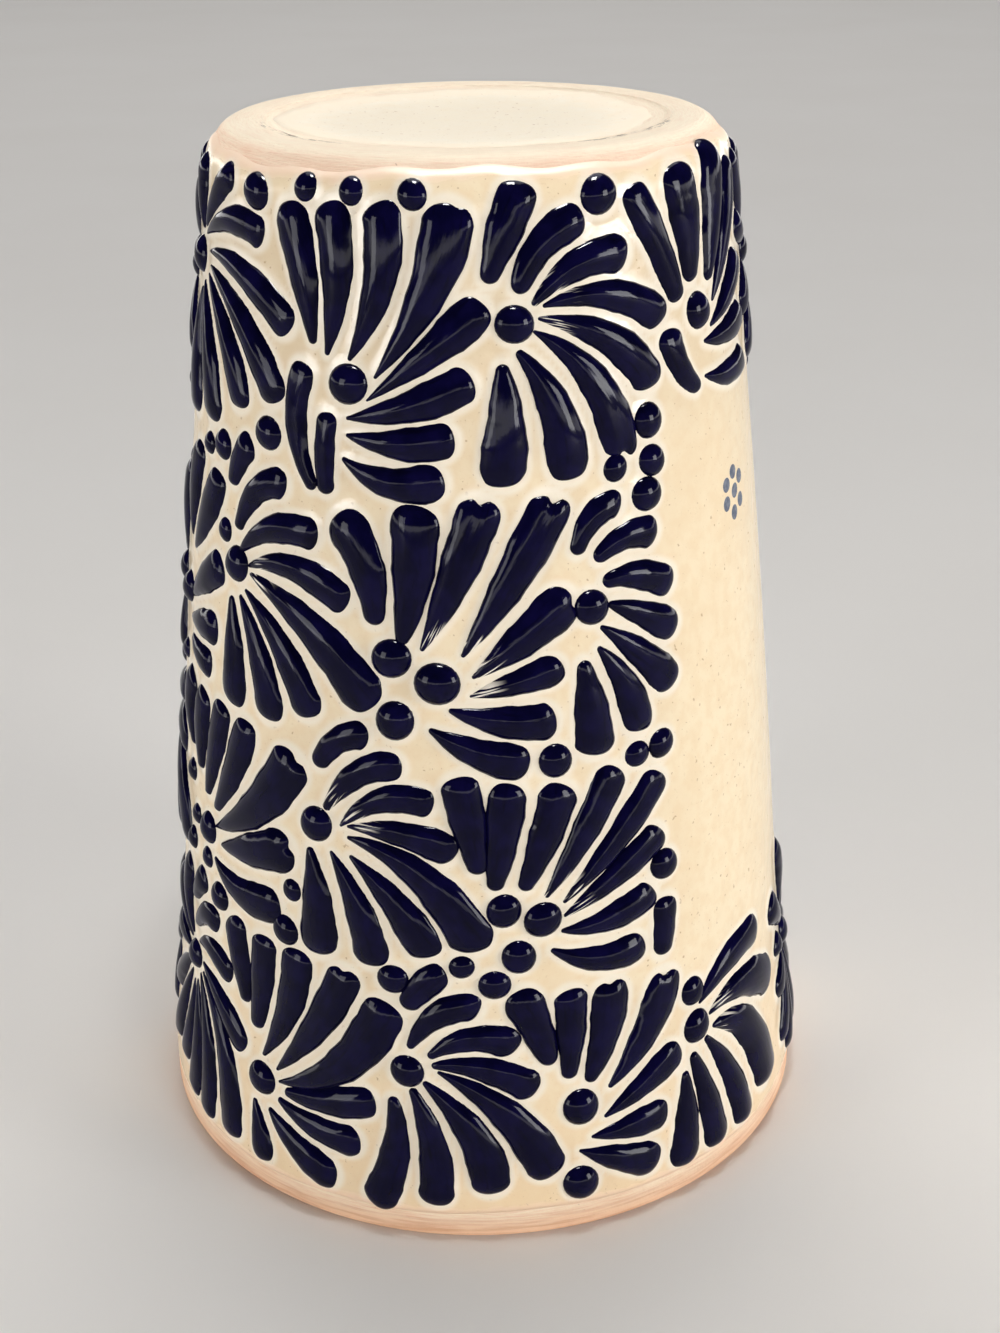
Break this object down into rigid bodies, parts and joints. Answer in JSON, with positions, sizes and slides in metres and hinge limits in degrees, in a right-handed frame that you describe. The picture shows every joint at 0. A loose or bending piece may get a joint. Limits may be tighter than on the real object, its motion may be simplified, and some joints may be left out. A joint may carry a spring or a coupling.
{
  "type": "ceramic tumbler",
  "caption": "Tapered ceramic drinking tumbler with cream glaze and raised cobalt petal fans, standing upside down on its rim.",
  "frame": {"origin": "centre of the rim, on the plane it stands on in the picture", "axes": "+Z from the rim up to the foot, because the tumbler stands upside down; -Y faces the camera and +X is the picture's right"},
  "size_m": [0.0914, 0.0912, 0.132],
  "materials": {
    "bare_clay": "unglazed fired clay, matt",
    "cream_glaze": "glossy cream glaze",
    "cobalt_slip": "glossy near-black cobalt, raised"
  },
  "bodies": {
    "root": {"clay_body": "bare_clay", "outer_glaze": "cream_glaze", "inner_glaze": "cream_glaze", "base_glaze": "cream_glaze", "petal_fan_01": "cobalt_slip", "petal_fan_02": "cobalt_slip", "petal_fan_03": "cobalt_slip", "petal_fan_04": "cobalt_slip", "petal_fan_05": "cobalt_slip", "petal_fan_06": "cobalt_slip", "petal_fan_07": "cobalt_slip", "petal_fan_08": "cobalt_slip", "petal_fan_09": "cobalt_slip", "petal_fan_10": "cobalt_slip", "petal_fan_11": "cobalt_slip", "petal_fan_12": "cobalt_slip", "petal_fan_13": "cobalt_slip", "petal_fan_14": "cobalt_slip", "petal_fan_15": "cobalt_slip", "petal_fan_16": "cobalt_slip", "petal_fan_17": "cobalt_slip", "petal_fan_18": "cobalt_slip", "petal_fan_19": "cobalt_slip", "petal_fan_20": "cobalt_slip", "petal_fan_21": "cobalt_slip", "petal_fan_22": "cobalt_slip", "petal_fan_23": "cobalt_slip", "petal_fan_24": "cobalt_slip", "petal_fan_25": "cobalt_slip", "petal_fan_26": "cobalt_slip", "petal_fan_27": "cobalt_slip", "petal_fan_28": "cobalt_slip", "petal_fan_29": "cobalt_slip", "petal_fan_30": "cobalt_slip", "petal_fan_31": "cobalt_slip", "petal_fan_32": "cobalt_slip", "petal_fan_33": "cobalt_slip", "petal_fan_34": "cobalt_slip", "petal_fan_35": "cobalt_slip", "petal_fan_36": "cobalt_slip", "petal_fan_37": "cobalt_slip", "petal_fan_38": "cobalt_slip", "petal_fan_39": "cobalt_slip", "petal_fan_40": "cobalt_slip"}
  },
  "joints": []
}
